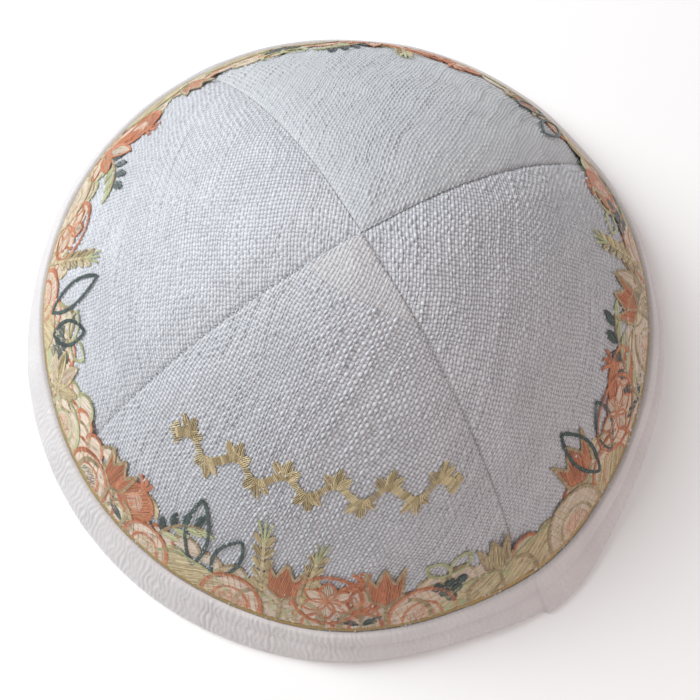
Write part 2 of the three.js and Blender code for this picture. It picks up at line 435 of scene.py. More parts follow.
# %% The weave: how high each thread stands
warp_pitch = 0.80
weft_pitch = 0.97
warp_height = 0.25
weft_height = 0.12
crimp = 0.85
bead_variety = 0.3
yarn_stray = 0.15
zone_swell = 0.3
zone_across = (7.3, 5.0)
zone_along = (13.0, 9.1)
bead_limits = (0.35, 2.4)
# Bead sizes at which the painted shade on the cloth is darkest and lightest.
darkest_painted_bead = 0.5
lightest_painted_bead = 1.7
slub_steps = (3, 16)
slub_swell = (0.4, 1.0)
warp_slubs = 0.016
weft_slubs = 0.002
warp_uneven = 0.13
weft_uneven = 0.15
table_step = 4.0
wander_rows = [(55, 1.1), (38, 0.8), (24, 0.4), (14, 0.22), (8, 0.12), (5, 0.06)]
wander_turns = dice.uniform(0, 2 * math.pi, (len(wander_rows), 4))
stray_rows = 400
stray_columns = 90
last_cell = 1.1
stray_tables = yarn_stray * dice.standard_normal((2, stray_rows, stray_columns))


def wander(across, along):
    """How far the threads stray from straight lines: a few waves of different lengths, across and along."""
    stray = np.zeros((2,) + np.shape(across))
    for (length, reach), (heading, *phases) in zip(wander_rows, wander_turns):
        for axis in (0, 1):
            turned = heading + axis * 1.9
            wave = (across * math.cos(turned) + along * math.sin(turned)) * 2 * math.pi / length
            stray[axis] += reach * np.sin(wave + phases[axis]) * 0.5
    return stray


def single_stray(table, yarn, place):
    """How far each yarn lies beside its own straight line, softly changing along it."""
    row = np.clip(yarn + stray_rows / 2, 0, stray_rows - last_cell)
    column = np.clip(place / table_step + stray_columns / 2, 0, stray_columns - last_cell)
    above, before = row.astype(int), column.astype(int)
    down, right = row - above, column - before
    near = table[above, before] * (1 - right) + table[above, before + 1] * right
    far = table[above + 1, before] * (1 - right) + table[above + 1, before + 1] * right
    return near * (1 - down) + far * down


def on_flat_cloth(across, along, grain):
    """Thread coordinates as a flat place in the gore, a complex number, strayed and turned to the grain."""
    stray = wander(across, along)
    stray[0] += single_stray(stray_tables[0], across / warp_pitch, along)
    stray[1] += single_stray(stray_tables[1], along / weft_pitch, across)
    return (across + stray[0] + 1j * (along + stray[1])) * np.exp(1j * (grain - math.pi / 2))


def yarn_table(count, length, uneven, slub_chance):
    """How thick each yarn is along its length: a base, slow changes, and a few long thick slubs."""
    columns = int(length / table_step) + 4
    table = 1 + uneven * dice.standard_normal((count, 1)) + uneven * dice.standard_normal((count, columns))
    soft = np.array([0.25, 0.5, 0.25])
    starts = np.argwhere(dice.random((count, columns)) < slub_chance)
    for row, column in starts:
        reach = dice.integers(*slub_steps)
        table[row, column:column + reach] += dice.uniform(*slub_swell)
    return np.apply_along_axis(lambda yarn: np.convolve(yarn, soft, mode="same"), 1, table)


def look_up(table, rows, places):
    """A yarn table's value at fractional places along the yarns."""
    rows = np.clip(rows, 0, table.shape[0] - 1)
    spot = np.clip(places / table_step, 0, table.shape[1] - 1.001)
    before = spot.astype(int)
    share = spot - before
    return table[rows, before] * (1 - share) + table[rows, before + 1] * share


def weave(across, along, warp_table, weft_table, corner):
    """The cloth's height, and a painted shade from 0 to 1 that is lighter on larger beads, at places in the
    flat cloth.
    """
    warp = np.round(across / warp_pitch)
    weft = np.round(along / weft_pitch)
    first_warp, first_weft = corner
    warp_row = (warp - first_warp).astype(int)
    weft_row = (weft - first_weft).astype(int)
    warp_size = look_up(warp_table, warp_row, along - first_weft * weft_pitch)
    weft_size = look_up(weft_table, weft_row, across - first_warp * warp_pitch)
    beads = 1 + bead_variety * dice.standard_normal((warp_row.max() + 3, weft_row.max() + 3))
    zone_wave = np.sin(across / zone_across[0] + 2 * np.sin(along / zone_along[0]))
    zone_wave = zone_wave * np.sin(along / zone_along[1] + np.sin(across / zone_across[1]))
    zone = 1 + zone_swell * zone_wave
    bead = np.clip(beads[np.maximum(warp_row, 0), np.maximum(weft_row, 0)] * warp_size * zone, *bead_limits)
    over = np.cos(math.pi * warp) * np.cos(math.pi * along / weft_pitch)
    under = np.cos(math.pi * weft) * np.cos(math.pi * across / warp_pitch)
    warp_top = warp_height * bead * np.abs(np.cos(math.pi * across / warp_pitch)) * (1 + crimp * over)
    weft_top = weft_height * weft_size * np.abs(np.cos(math.pi * along / weft_pitch)) * (1 - crimp * under)
    return np.maximum(warp_top, weft_top), np.clip((bead - darkest_painted_bead) / (lightest_painted_bead - darkest_painted_bead), 0, 1)


print(f"threads to the centimetre: {10 / warp_pitch:.0f} in the warp, {10 / weft_pitch:.0f} in the weft")

# %% [markdown]
# Seams: two gores are sewn face to face and turned, so each edge rolls down into a narrow groove. We
# lower the cloth gently over the last few millimetres, as the solids do, and sharply over the last
# one. The wall is closed by a coarser copy of the grid on the inside, bridged to the woven face edge
# to edge.

# %% Build one gore
seam_valley = 0.7
roll_depth = 0.3
roll_reach = 1.3
roll_flattens = 0.55
cloth_low = -0.18
cloth_end_up = 6.5


def gore_frame(start, end):
    """The middle angle of a gore and half its spread."""
    return (start + end) / 2, (end - start) / 2


def to_cap(flat_x, flat_y, middle):
    """A flat point of a gore as (angle, length above the rim). The crown is the flat cloth's origin."""
    along = np.maximum(np.hypot(flat_x, flat_y), 1e-6)
    turn = np.arctan2(flat_y, flat_x) - middle
    turn = (turn + math.pi) % (2 * math.pi) - math.pi
    narrowing = np.interp(along, side_length, side_radius) / along
    narrowing = np.where(along < 1, 1, narrowing)
    return middle + turn / narrowing, cap_side - along


def valley_at(angle, up, start, end):
    """How far the cloth sinks towards a seam."""
    radius = radius_at(up)
    to_seam = radius * np.sin(np.clip(np.minimum(angle - start, end - angle), 0, math.pi / 2))
    fade = smooth(radius / valley_reach) * smooth((up - tape_height) / valley_fade)
    valley = seam_valley * fade * (1 - smooth(to_seam / valley_reach))
    return valley, roll_depth * (1 - smooth(to_seam / roll_reach)) * smooth(radius / roll_reach)


def cut_gore_grid(share, out, start, end, grain):
    """A flat grid along the grain, a share of a thread apart, bent onto the cap and cut to the gore."""
    middle, half = gore_frame(start, end)
    edge = np.linspace(0, cap_side - cloth_end_up, 40)
    outline = []
    for side in (-1, 1):
        turn = side * half * np.interp(edge, side_length, side_radius) / np.maximum(edge, 1)
        outline += [edge * np.exp(1j * (middle + turn))]
    turn = np.linspace(-half, half, 30) * radius_at(cloth_end_up) / edge[-1]
    outline = np.concatenate(outline + [edge[-1] * np.exp(1j * (middle + turn))])
    turned = outline * np.exp(-1j * (grain - math.pi / 2))
    pitches = np.array([warp_pitch, weft_pitch])
    low = 4 * np.floor(np.array([turned.real.min(), turned.imag.min()]) / (4 * pitches) - 0.6)
    high = 4 * np.ceil(np.array([turned.real.max(), turned.imag.max()]) / (4 * pitches) + 0.6)
    yarns = high - low
    counts = np.round(yarns / share).astype(int)

    bm = bmesh.new()
    bmesh.ops.create_grid(bm, x_segments=int(counts[0]), y_segments=int(counts[1]), size=0.5)
    span, centre = yarns * pitches, (high + low) / 2 * pitches
    bmesh.ops.scale(bm, verts=bm.verts, vec=(span[0], span[1], 1))
    bmesh.ops.translate(bm, verts=bm.verts, vec=(centre[0], centre[1], 0))

    across = np.array([v.co.x for v in bm.verts])
    along = np.array([v.co.y for v in bm.verts])
    flat = on_flat_cloth(across, along, grain)
    angle, up = to_cap(flat.real, flat.imag, middle)
    beyond = (np.abs(angle - middle) - half) * radius_at(up)
    outside = (beyond > 2.5 * share) | (up < cloth_end_up - 2.5 * share)
    across_layer = bm.verts.layers.float.new("across")
    along_layer = bm.verts.layers.float.new("along")
    places = cap_point(angle, up, out)
    for vertex, place, a, b in zip(bm.verts, places, across, along):
        vertex[across_layer] = a
        vertex[along_layer] = b
        vertex.co = place
    bmesh.ops.delete(bm, geom=[v for v, gone in zip(bm.verts, outside) if gone], context="VERTS")

    axis = Vector((lean_right, lean_back, cap_height)).normalized()
    for seam, side in ((start, 1), (end, -1)):
        inward = Vector((-math.sin(seam), math.cos(seam), 0)) * side
        seam_line = Vector((math.cos(seam), math.sin(seam), 0))
        normal = seam_line.cross(axis).normalized()
        normal = normal if normal.dot(inward) > 0 else -normal
        on_plane = Vector((move_right, move_back, 0)) * mm
        geometry = bm.verts[:] + bm.edges[:] + bm.faces[:]
        bmesh.ops.bisect_plane(bm, geom=geometry, plane_co=on_plane, plane_no=normal, clear_inner=True)
    floor_height = np.interp(cap_side - cloth_end_up, side_length, side_height) + out * math.cos(rim_slope)
    geometry = bm.verts[:] + bm.edges[:] + bm.faces[:]
    low_cut = Vector((0, 0, floor_height * mm))
    bmesh.ops.bisect_plane(bm, geom=geometry, plane_co=low_cut, plane_no=(0, 0, 1), clear_inner=True)
    return bm, low, yarns


def gore_cloth(name, start, end, grain, thread_share, finish):
    """A gore of woven cloth: its woven face, its wrong side, and the edges between them."""
    start, end, grain = math.radians(start), math.radians(end), math.radians(grain)
    middle, _ = gore_frame(start, end)
    face, corner, yarns = cut_gore_grid(0.5, 0.0, start, end, grain)
    back, _, _ = cut_gore_grid(2, -panel_wall, start, end, grain)
    back_mesh = bpy.data.meshes.new("wrong_side")
    bmesh.ops.reverse_faces(back, faces=back.faces)
    back.to_mesh(back_mesh)
    woven_faces = len(face.faces)
    woven_vertices = len(face.verts)
    face.from_mesh(back_mesh)
    open_edges = [edge for edge in face.edges if edge.is_boundary]
    bmesh.ops.bridge_loops(face, edges=open_edges)
    bmesh.ops.recalc_face_normals(face, faces=face.faces)
    mesh = bpy.data.meshes.new(name)
    face.to_mesh(mesh)
    for used in (face, back):
        used.free()

    across, along = vertex_layer(mesh, "across"), vertex_layer(mesh, "along")
    flat = on_flat_cloth(across, along, grain)
    angle, up = to_cap(flat.real, flat.imag, middle)
    woven = np.arange(len(across)) < woven_vertices
    warp_table = yarn_table(int(yarns[0]) + 2, yarns[1] * weft_pitch, warp_uneven, warp_slubs)
    weft_table = yarn_table(int(yarns[1]) + 2, yarns[0] * warp_pitch, weft_uneven, weft_slubs)
    height, painted_relief_shade = weave(across, along, warp_table, weft_table, corner)
    valley, roll = valley_at(angle, up, start, end)
    height = height * thread_share * (1 - roll_flattens * roll / roll_depth)
    out = np.where(woven, cloth_low + height - valley - roll, -valley)
    outwards = (cap_point(angle, up, out) - cap_point(angle, up, np.zeros_like(out)))
    move_vertices(mesh, vertex_places(mesh) + outwards)
    write_painted_shade(mesh, painted_relief_shade)
    write_uv(mesh, across, along)
    mesh.materials.append(finish)
    mesh.materials.append(inside_cloth)
    slots = (np.arange(len(mesh.polygons)) >= woven_faces).astype(np.int32)
    mesh.polygons.foreach_set("material_index", slots)
    return mesh


# %% [markdown]
# The four gores differ a little: their seams are not exactly square, each was cut with its grain at a
# slightly different turn, and the back one was pressed flatter. One row each says so: from seam to
# seam and the direction of the warp, in degrees about the axis, then the share of the threads' height
# that is left, and the finish.

# %% The four gores
gore_rows = [
    ("front", 222, 318, 76, 1.0, cloth),
    ("right", 318, 406, 102, 0.95, cloth),
    ("back", 46, 134, 81, 0.6, pressed_cloth),
    ("left", 134, 222, 97, 0.85, cloth),
]
for side_name, start_degrees, end_degrees, *cut in gore_rows:
    gore_mesh = gore_cloth(side_name + "_gore_cloth", start_degrees, end_degrees, *cut)
    finished(gore_mesh, side_name + "_gore_cloth", "panel_cloth", side_name + "_panel")

# %% [markdown]
# The tape is one section carried round the rim, which is what Spin does. The section is drawn once as
# a closed ring of points that remember how far up the side and how far out they are. After the spin,
# a function moves every vertex: it adds the ribs, the puckers, the fold line and the join, and the
# pull of the rim beside the join.

# %% Spin the folded tape
rib_count = 372
rib_depth = 0.055
rib_samples = 4
rib_places = [0, 60, 160, 205, 232, 270, 292, 320, 360]
rib_shares = [0.4, 0.3, 0.3, 0.6, 2.5, 2.3, 0.8, 0.3, 0.4]
tuck_places = [0, 45, 75, 140, 165, 360]
tuck_shares = [0, 0.3, 1, 1, 0, 0]
tuck_depth = 0.9
pucker_count = 214
overlap_at = math.radians(319)
join_step = 1.2
join_reach = math.radians(16)
crease_angles = np.radians([0, 50, 130, 235, 290, 360])
crease_shares = [1, 0.5, 0, 0, 1, 1]
face_rows = [
    (1.0, 0.0, 0.0),
    (0.93, 0.3, 0.0),
    (0.86, 0.5, 0.0),
    (0.79, 0.62, 0.0),
    (0.72, 0.7, 0.25),
    (0.66, 0.75, 0.9),
    (0.62, 0.78, 1.0),
    (0.58, 0.83, 0.85),
    (0.52, 0.9, 0.2),
    (0.44, 0.96, 0.0),
    (0.36, 1.0, 0.0),
    (0.28, 1.0, 0.0),
    (0.21, 0.92, 0.0),
    (0.14, 0.75, 0.0),
    (0.08, 0.5, 0.0),
]


def tape_section():
    """The tape's section as rows of (length above the rim, distance outwards, crease share, rib share)."""
    face_out = tape_clearance + tape_wall
    lining_out = -(panel_wall + tape_clearance)
    hem_out = lining_out - tape_wall
    slant = math.cos(rim_slope) / math.sin(rim_slope)
    fold_up = tape_wall / math.sin(rim_slope)
    upper_edge = [
        (fold_up - tape_clearance * slant, tape_clearance, 0, 0),
        (tape_height * 0.6, tape_clearance, 0, 0),
        (tape_height - 0.3, -0.1, 0, 0),
        (tape_height + 0.15, 0.05, 0, 0.3),
        (tape_height + 0.2, 0.5, 0, 0.4),
        (tape_height, 0.85, 0, 0.6),
    ]
    face = [(share * tape_height, face_out + bow * tape_bulge, crease, 1) for share, bow, crease in face_rows]
    fold = [
        (0.5 - face_out * slant, face_out, 0, 0.7),
        (0.14 - (face_out - 0.28) * slant, face_out - 0.28, 0, 0.4),
        (-(face_out - 0.8) * slant, face_out - 0.8, 0, 0),
        (-(hem_out + 0.6) * slant, hem_out + 0.6, 0, 0),
        (0.16 - (hem_out + 0.15) * slant, hem_out + 0.15, 0, 0.2),
        (0.6 - hem_out * slant, hem_out, 0, 0.4),
    ]
    hem = [
        (tape_inner_height * 0.4, hem_out, 0, 0.8),
        (tape_inner_height * 0.7, hem_out, 0, 0.8),
        (tape_inner_height - 0.2, hem_out + 0.1, 0, 0.6),
        (tape_inner_height, hem_out + 0.5, 0, 0.2),
        (tape_inner_height, lining_out, 0, 0),
        (tape_inner_height * 0.6, lining_out, 0, 0),
        (fold_up - lining_out * slant, lining_out, 0, 0),
    ]
    return upper_edge + face + fold + hem


def spun_ring(rows, steps, names):
    """A closed section of vertices that remember their row, spun once round the axis."""
    bm = bmesh.new()
    layers = [bm.verts.layers.float.new(name) for name in names]
    ring = []
    for row in rows:
        place = cap_point(np.array(0.0), np.array(float(row[0])), np.array(float(row[1])))
        vertex = bm.verts.new((float(np.hypot(place[0], place[1])), 0, float(place[2])))
        for layer, value in zip(layers, row):
            vertex[layer] = value
        ring.append(vertex)
    edges = [bm.edges.new((a, b)) for a, b in zip(ring, ring[1:] + ring[:1])]
    bmesh.ops.spin(
        bm, geom=ring + edges, cent=(0, 0, 0), axis=(0, 0, 1), angle=2 * math.pi, steps=steps, use_merge=True,
    )
    bmesh.ops.recalc_face_normals(bm, faces=bm.faces)
    mesh = bpy.data.meshes.new("ring")
    bm.to_mesh(mesh)
    bm.free()
    places = vertex_places(mesh)
    return mesh, np.arctan2(places[:, 1], places[:, 0]) % (2 * math.pi)


def after_join(angle):
    """How far a place lies past the tape's join, from 1 just after it to 0 a little further on."""
    past = (angle - overlap_at) % (2 * math.pi)
    return np.clip(1 - past / join_reach, 0, 1) ** 1.5


def make_tape():
    """The ribbed tape with its fold line, its puckers and its join."""
    names = ["up", "out", "crease", "rib"]
    mesh, angle = spun_ring(tape_section(), rib_count * rib_samples, names)
    up, out, crease, rib = [vertex_layer(mesh, name) for name in names]
    uneven = np.interp(angle, np.linspace(0, 2 * math.pi, 300), np.append(dice.uniform(0.3, 1.5, 299), 1))
    uneven = uneven * np.interp(np.degrees(angle), rib_places, rib_shares)
    crinkle = 1.7 * np.sin(37 * angle + 0.9 * up) + 1.3 * np.sin(61 * angle - 0.8 * up + 1)
    crinkle += 0.9 * np.sin(97 * angle + 1.3 * up)
    wave = np.cos(rib_count * angle + 0.45 * up + crinkle)
    tuck = tuck_depth * np.interp(np.degrees(angle), tuck_places, tuck_shares)
    fold = tape_crease * crease * np.interp(angle, crease_angles, crease_shares)
    outside = out > 0
    pucker_zone = smooth((np.cos(angle - math.radians(350)) - 0.1) / 0.6)
    pucker = 0.16 * np.cos(pucker_count * angle + 2 * np.sin(11 * angle)) * smooth(1 - up / 5) * pucker_zone
    slack = 0.16 * np.sin(5 * angle + 0.7) + 0.14 * np.sin(13 * angle) + 0.1 * np.sin(23 * angle + 2)
    bow = slack * smooth(up / 4) * smooth((tape_height + 1 - up) / 3)
    lift = rib * (rib_depth * uneven * wave) + outside * (pucker * rib - fold + bow * rib)
    lift -= outside * rib * tuck * smooth((tape_height + 1 - up) / 4)
    low = up * math.sin(rim_slope) + out * math.cos(rim_slope) < 0.3
    overlap = outside * join_step * after_join(angle) * smooth((tape_height + 1 - up) / 6) * mm
    outwards = np.stack([np.cos(angle), np.sin(angle), np.zeros_like(angle)], axis=-1)
    places = cap_point(angle, up, out + np.where(low, 0, lift)) + outwards * overlap[:, None]
    move_vertices(mesh, places)
    # Painted shade on the ribs: lighter on their crests, darker in their hollows.
    painted_relief_shade = 0.6 + 0.25 * wave * rib * np.clip(uneven, 0, 1.6)
    write_painted_shade(mesh, painted_relief_shade)
    write_uv(mesh, angle * rim_diameter / 2, up + 40 * (out < 0))
    mesh.materials.append(tape_cloth)
    return finished(mesh, "folded_tape", "binding_tape", "rim_binding")


make_tape()

# %% [markdown]
# The satin line above the tape is a narrow column of stitches that lie side by side across it. One
# half-round section is spun, and every second step is lowered, which reads as thread beside thread.

# %% Spin the gold satin line
line_up = 13.0
line_width = 1.25
line_height = 0.42
line_stitches = 1300


def make_satin_line():
    """The gold line of satin stitches that runs round above the tape."""
    turns = np.linspace(0, math.pi, 6)
    rows = [(line_up + line_width / 2 * math.cos(t), 0.05 + line_height * math.sin(t)) for t in turns]
    rows += [(line_up - line_width / 2, -0.25), (line_up + line_width / 2, -0.25)]
    mesh, angle = spun_ring(rows, line_stitches * 2, ["up", "out"])
    up, out = vertex_layer(mesh, "up"), vertex_layer(mesh, "out")
    wave = np.cos(line_stitches * angle)
    drift = 0.16 * np.sin(9 * angle) + 0.1 * np.sin(31 * angle + 1) + 0.06 * np.sin(83 * angle)
    wide = 1 + 0.16 * np.sin(47 * angle) + 0.1 * np.sin(111 * angle + 2)
    raised = out + (out > 0) * 0.07 * wave
    move_vertices(mesh, cap_point(angle, line_up + (up - line_up) * wide + drift, raised))
    # Painted shade: the raised stitches lighter, the lowered steps between them darker.
    painted_relief_shade = 0.5 + 0.5 * wave
    write_painted_shade(mesh, painted_relief_shade)
    write_uv(mesh, up, angle * radius_at(line_up))
    mesh.materials.append(line_thread)
    return finished(mesh, "gold_satin_line", "embroidery_thread")


make_satin_line()

# %% [markdown]
# Embroidery is threads on the cloth, so we sew it. Each stitch is a short spline with a round bevel,
# and one curve object per colour holds thousands of them before it becomes a mesh. Two kinds of
# stitch make everything: satin, which crosses a line again and again, and fill, which runs in rows
# through a closed shape. A pattern painted in the material would be lighter, but it would have no
# relief and no thread direction for the light to catch.

# %% Stitches
thread_radius = 0.17
satin_pitch = 0.42
fill_pitch = 0.40
fill_length = 3.4
sewn = {colour: [] for colour in threads}
sewing = {"lift": 0.0}


def lay(colour, points):
    """Keeps one stitch: rows of (angle, length above the rim, height above the cloth)."""
    sewn[colour].append(points + [0, 0, sewing["lift"]])


def resample(points, pitch):
    """Evenly spaced points along a path, with the direction at each."""
    points = np.asarray(points, float)
    lengths = np.concatenate([[0], np.cumsum(np.hypot(*np.diff(points, axis=0).T))])
    count = max(2, int(round(lengths[-1] / pitch)) + 1)
    spots = np.linspace(0, lengths[-1], count)
    even = np.stack([np.interp(spots, lengths, points[:, axis]) for axis in (0, 1)], axis=-1)
    direction = np.gradient(even, axis=0)
    direction /= np.maximum(np.linalg.norm(direction, axis=1, keepdims=True), 1e-9)
    return even, direction


def placed(points, heights, centre, base_up):
    """Flat motif points, in millimetres across and up, as places on the cap."""
    points = np.asarray(points, float)
    up = base_up + points[:, 1]
    angle = centre + points[:, 0] / np.maximum(radius_at(up), 5)
    return np.stack([angle, up, np.asarray(heights, float)], axis=-1)


def sew_satin(colour, points, width, centre, base_up):
    """Satin: short stitches side by side across a path."""
    even, direction = resample(points, satin_pitch)
    normal = np.stack([-direction[:, 1], direction[:, 0]], axis=-1)
    half = width / 2 * (1 + 0.12 * dice.standard_normal(len(even)))
    slant = direction * 0.12
    first = even - normal * half[:, None] - slant
    second = even + normal * half[:, None] + slant
    heights = 0.34 + 0.05 * dice.random(len(even))
    for a, b, height in zip(first, second, heights):
        lay(colour, placed([a, b], [height, height - 0.02], centre, base_up))


def sew_fill(colour, outline, lean, centre, base_up, pitch=fill_pitch):
    """Fill: rows of longer stitches through a closed shape, offset like bricks."""
    outline = np.asarray(outline, float)
    turn = np.exp(-1j * lean)
    shape = (outline[:, 0] + 1j * outline[:, 1]) * turn
    following = np.roll(shape, -1)
    row_count = int((shape.imag.max() - shape.imag.min()) / pitch)
    for row in range(row_count + 1):
        level = shape.imag.min() + (row + 0.5) * pitch
        crossing = (shape.imag <= level) != (following.imag <= level)
        rise = (following.imag - shape.imag)[crossing]
        share = (level - shape.imag[crossing]) / rise
        hits = np.sort(shape.real[crossing] + share * (following.real - shape.real)[crossing])
        for left, right in zip(hits[::2], hits[1::2]):
            offset = (row % 3) / 3 * fill_length
            breaks = np.arange(math.floor((left - offset) / fill_length) + 1, (right - offset) / fill_length)
            stops = np.concatenate([[left], breaks * fill_length + offset, [right]])
            for begin, finish in zip(stops[:-1], stops[1:]):
                if finish - begin < 0.3:
                    continue
                ends = (np.array([begin, finish]) + 1j * (level + 0.05 * dice.standard_normal(2))) / turn
                height = 0.24 + 0.08 * dice.random()
                flat_ends = np.stack([ends.real, ends.imag], axis=-1)
                lay(colour, placed(flat_ends, [height, height], centre, base_up))


def arc(x, y, radius, begin, finish, tall=1.0, count=24):
    """Points of an arc, angles in degrees, optionally taller than it is wide."""
    turn = np.radians(np.linspace(begin, finish, count))
    return np.stack([x + radius * np.cos(turn), y + radius * tall * np.sin(turn)], axis=-1)


def leaf(x, y, length, width, lean):
    """A pointed oval that starts at (x, y) and leans from upright, in degrees."""
    t = np.linspace(0, 1, 14)
    swell = width / 2 * np.sin(math.pi * t) ** 0.8
    shape = np.concatenate([swell + 1j * t * length, (-swell + 1j * t * length)[::-1][1:-1]])
    shape = shape * np.exp(-1j * math.radians(lean)) + x + 1j * y
    return np.stack([shape.real, shape.imag], axis=-1)


def closed(points):
    """The same outline with its first point again at its end."""
    return np.concatenate([points, points[:1]])


# %% [markdown]
# The band is a generic one: fruit, leaves, wheat, shells and palmettes, a common kind of border. Each
# motif is a short function that sews itself round its own middle at the foot of the band. The motifs
# stand side by side on the gold line, as closely as a real border does, and low cream shells behind
# them close the ground.

# %% Motifs
def scallop(at, foot, size=1.0, rim="gold", heart="rust"):
    """A round shell: a cream ground, a rim, an inner arch and a small heart."""
    radius = 5.6 * size
    sew_fill("cream", arc(0, 0.6, radius, 0, 180, 1.25), 0.35, at, foot)
    sew_fill(rim, arc(0, 0.6, radius * 0.94, 0, 180, 1.25), 1.9, at, foot, 1.5)
    sew_satin(rim, arc(0, 0.6, radius, 0, 180, 1.25), 1.1, at, foot)
    sew_satin(rim, arc(0, 0.6, radius * 0.58, 0, 180, 1.25), 0.8, at, foot)
    sew_fill(heart, arc(0, 0.6, radius * 0.42, 0, 180, 1.3), 1.2, at, foot)


def pomegranate(at, foot, size=1.0):
    """A round fruit on a stalk, with a crown of three points and a pale window of seeds."""
    radius, stalk = 4.6 * size, 5.0 * size
    middle = stalk + radius
    sew_satin("khaki", [(0, 0.5), (0.5, stalk * 0.6), (0, stalk + 0.6)], 1.0, at, foot)
    sew_fill("rust", arc(0, middle, radius, 0, 360, 1.0), 0.9, at, foot)
    sew_fill("cream", arc(0.4, middle - 0.2, radius * 0.42, 0, 360, 1.3), 2.2, at, foot)
    sew_satin("rust", closed(arc(0, middle, radius, 0, 360, 1.0, 40)), 0.9, at, foot)
    for lean in (-28, 0, 28):
        tip = middle + radius * 0.9
        sew_satin("rust", leaf(0, tip, 3.2 * size, 1.0, lean)[:14], 0.9, at, foot)
    for side in (-1, 1):
        sew_fill("green", leaf(0, 1.5, 5.2 * size, 2.4, side * 62), 0.3 * side, at, foot)


def leaf_pair(at, foot, size=1.0, colour="green"):
    """Two tall open leaves on one foot."""
    for shift, length, lean in ((-1.8, 17, -7), (2.6, 12.5, 12)):
        shape = leaf(shift * size, 5.0 * size, length * size, 4.6 * size, lean)
        sew_satin(colour, closed(shape), 0.85, at, foot)
    sew_fill("gold", arc(0, 0.4, 4.6 * size, 0, 180, 1.2), 0.8, at, foot)


def wheat_ear(at, foot, size=1.0, lean=0.0):
    """An ear of wheat: a stalk with paired grains and a few long beards."""
    height = 17 * size
    tilt = math.tan(math.radians(lean))
    stalk = [(0, 0.5), (height * tilt * 0.5, height * 0.5), (height * tilt, height)]
    sew_satin("gold", stalk, 0.8, at, foot)
    for level in np.arange(0.36, 1.0, 0.15):
        x, y = height * level * tilt, height * level
        for side in (-1, 1):
            turn = lean + side * 30
            sew_fill("gold", leaf(x, y, 3.3 * size, 1.5 * size, turn), math.radians(90 - turn), at, foot)
    for spread_out in (-14, 0, 14):
        beard = math.tan(math.radians(lean + spread_out))
        tip = (height * tilt + 4.5 * size * beard, height + 4.5 * size)
        sew_satin("lime", [(height * tilt, height), tip], 0.5, at, foot)


def mound(at, foot, size=1.0, colour="gold"):
    """A low hill of close fill stitches with a paler crest."""
    shape = arc(0, 0.4, 8.5 * size, 0, 180, 0.72)
    sew_fill(colour, shape, 0.6, at, foot)
    sew_satin("lime", arc(0, 0.4, 8.7 * size, 20, 160, 0.72), 0.8, at, foot)


def tulip(at, foot, size=1.0, petal="rust"):
    """A cup-shaped flower on a stem between two blades."""
    stem = 6.0 * size
    sew_satin("khaki", [(0, 0.5), (0, stem)], 0.9, at, foot)
    cup = [(-3.6, 9.2), (-2.9, 2.2), (0, 0), (2.9, 2.2), (3.6, 9.2), (1.7, 5.6), (0, 9.6), (-1.7, 5.6)]
    cup = np.array(cup) * size + [0, stem]
    sew_fill(petal, cup, 1.45, at, foot)
    sew_satin("khaki", closed(cup), 0.75, at, foot)
    for side in (-1, 1):
        blade = arc(side * 4.2 * size, 0.4, 4.2 * size, 90 - side * 88, 90, 1.5, 12)
        sew_satin("khaki", blade, 1.1, at, foot)


def rosette(at, foot, size=1.0):
    """A six-petalled flower in a ring."""
    lift = 7.5 * size
    for step in range(6):
        lean = step * 60
        sew_fill("cream", leaf(0, lift, 4.3 * size, 2.5 * size, lean), math.radians(90 - lean), at, foot)
        sew_satin("rust", closed(leaf(0, lift, 4.6 * size, 2.9 * size, lean)), 0.55, at, foot)
    sew_fill("gold", arc(0, lift, 1.3 * size, 0, 360), 0.4, at, foot)
    sew_satin("rust", closed(arc(0, lift, 5.9 * size, 0, 360, 1.0, 40)), 0.9, at, foot)


def grape(at, foot, size=1.0):
    """A bunch of round berries under a vine leaf."""
    rows = [(-2.6, 8.6), (0, 8.8), (2.6, 8.6), (-1.3, 6.5), (1.3, 6.5), (0, 4.4)]
    for x, y in rows:
        sew_fill("green", arc(x * size, y * size, 1.25 * size, 0, 360), 0.8, at, foot)
    sew_satin("khaki", [(0, 10 * size), (0.8, 13.5 * size)], 0.8, at, foot)
    for side in (-1, 1):
        shape = leaf(0.6, 11.5 * size, 6.0 * size, 3.6 * size, side * 50)
        sew_satin("lime", closed(shape), 0.8, at, foot)
    sew_fill("lime", arc(0, 0.4, 3.4 * size, 0, 180, 0.7), 0.3, at, foot)


def olive_spray(at, foot, size=1.0):
    """A branch of narrow leaves that arches to one side."""
    spine = arc(7.5 * size, 0.5, 9.5 * size, 180, 96, 1.75, 18)
    sew_satin("khaki", spine, 0.7, at, foot)
    for step in range(3, 18, 3):
        x, y = spine[step]
        sew_fill("green", leaf(x, y, 4.6 * size, 1.7 * size, -34 + step * 3), 1.3, at, foot)
        sew_fill("lime", leaf(x, y, 4.6 * size, 1.7 * size, 62 + step * 2), 0.4, at, foot)


def palmette(at, foot, size=1.0, colour="rust"):
    """A fan of five narrow leaves over a pair of scrolls."""
    for lean in (-58, 58, -30, 30, 0):
        length = (12.5 - abs(lean) * 0.07) * size
        blade = leaf(0, 2.2 * size, length, 3.0 * size, lean)
        sew_fill(colour if lean in (-30, 30) else "cream", blade, math.radians(90 - lean), at, foot)
        sew_satin(colour, closed(blade), 0.6, at, foot)
    for side in (-1, 1):
        scroll = arc(side * 2.6 * size, 1.9 * size, 1.9 * size, 90 - side * 90, 90 + side * 190)
        sew_satin("gold", scroll, 0.9, at, foot)


# %% [markdown]
# A table sets the border out: for each gore, which motif stands at which share of the way from seam
# to seam, how large, and for some of them the colours. Neighbouring gores have different rows, so the
# border doesn't repeat like a printed ribbon. The ground behind the motifs is five rows of low
# shells: how far up each row is, how many places it has, the share of them that is filled, and how
# far the shells are lifted.

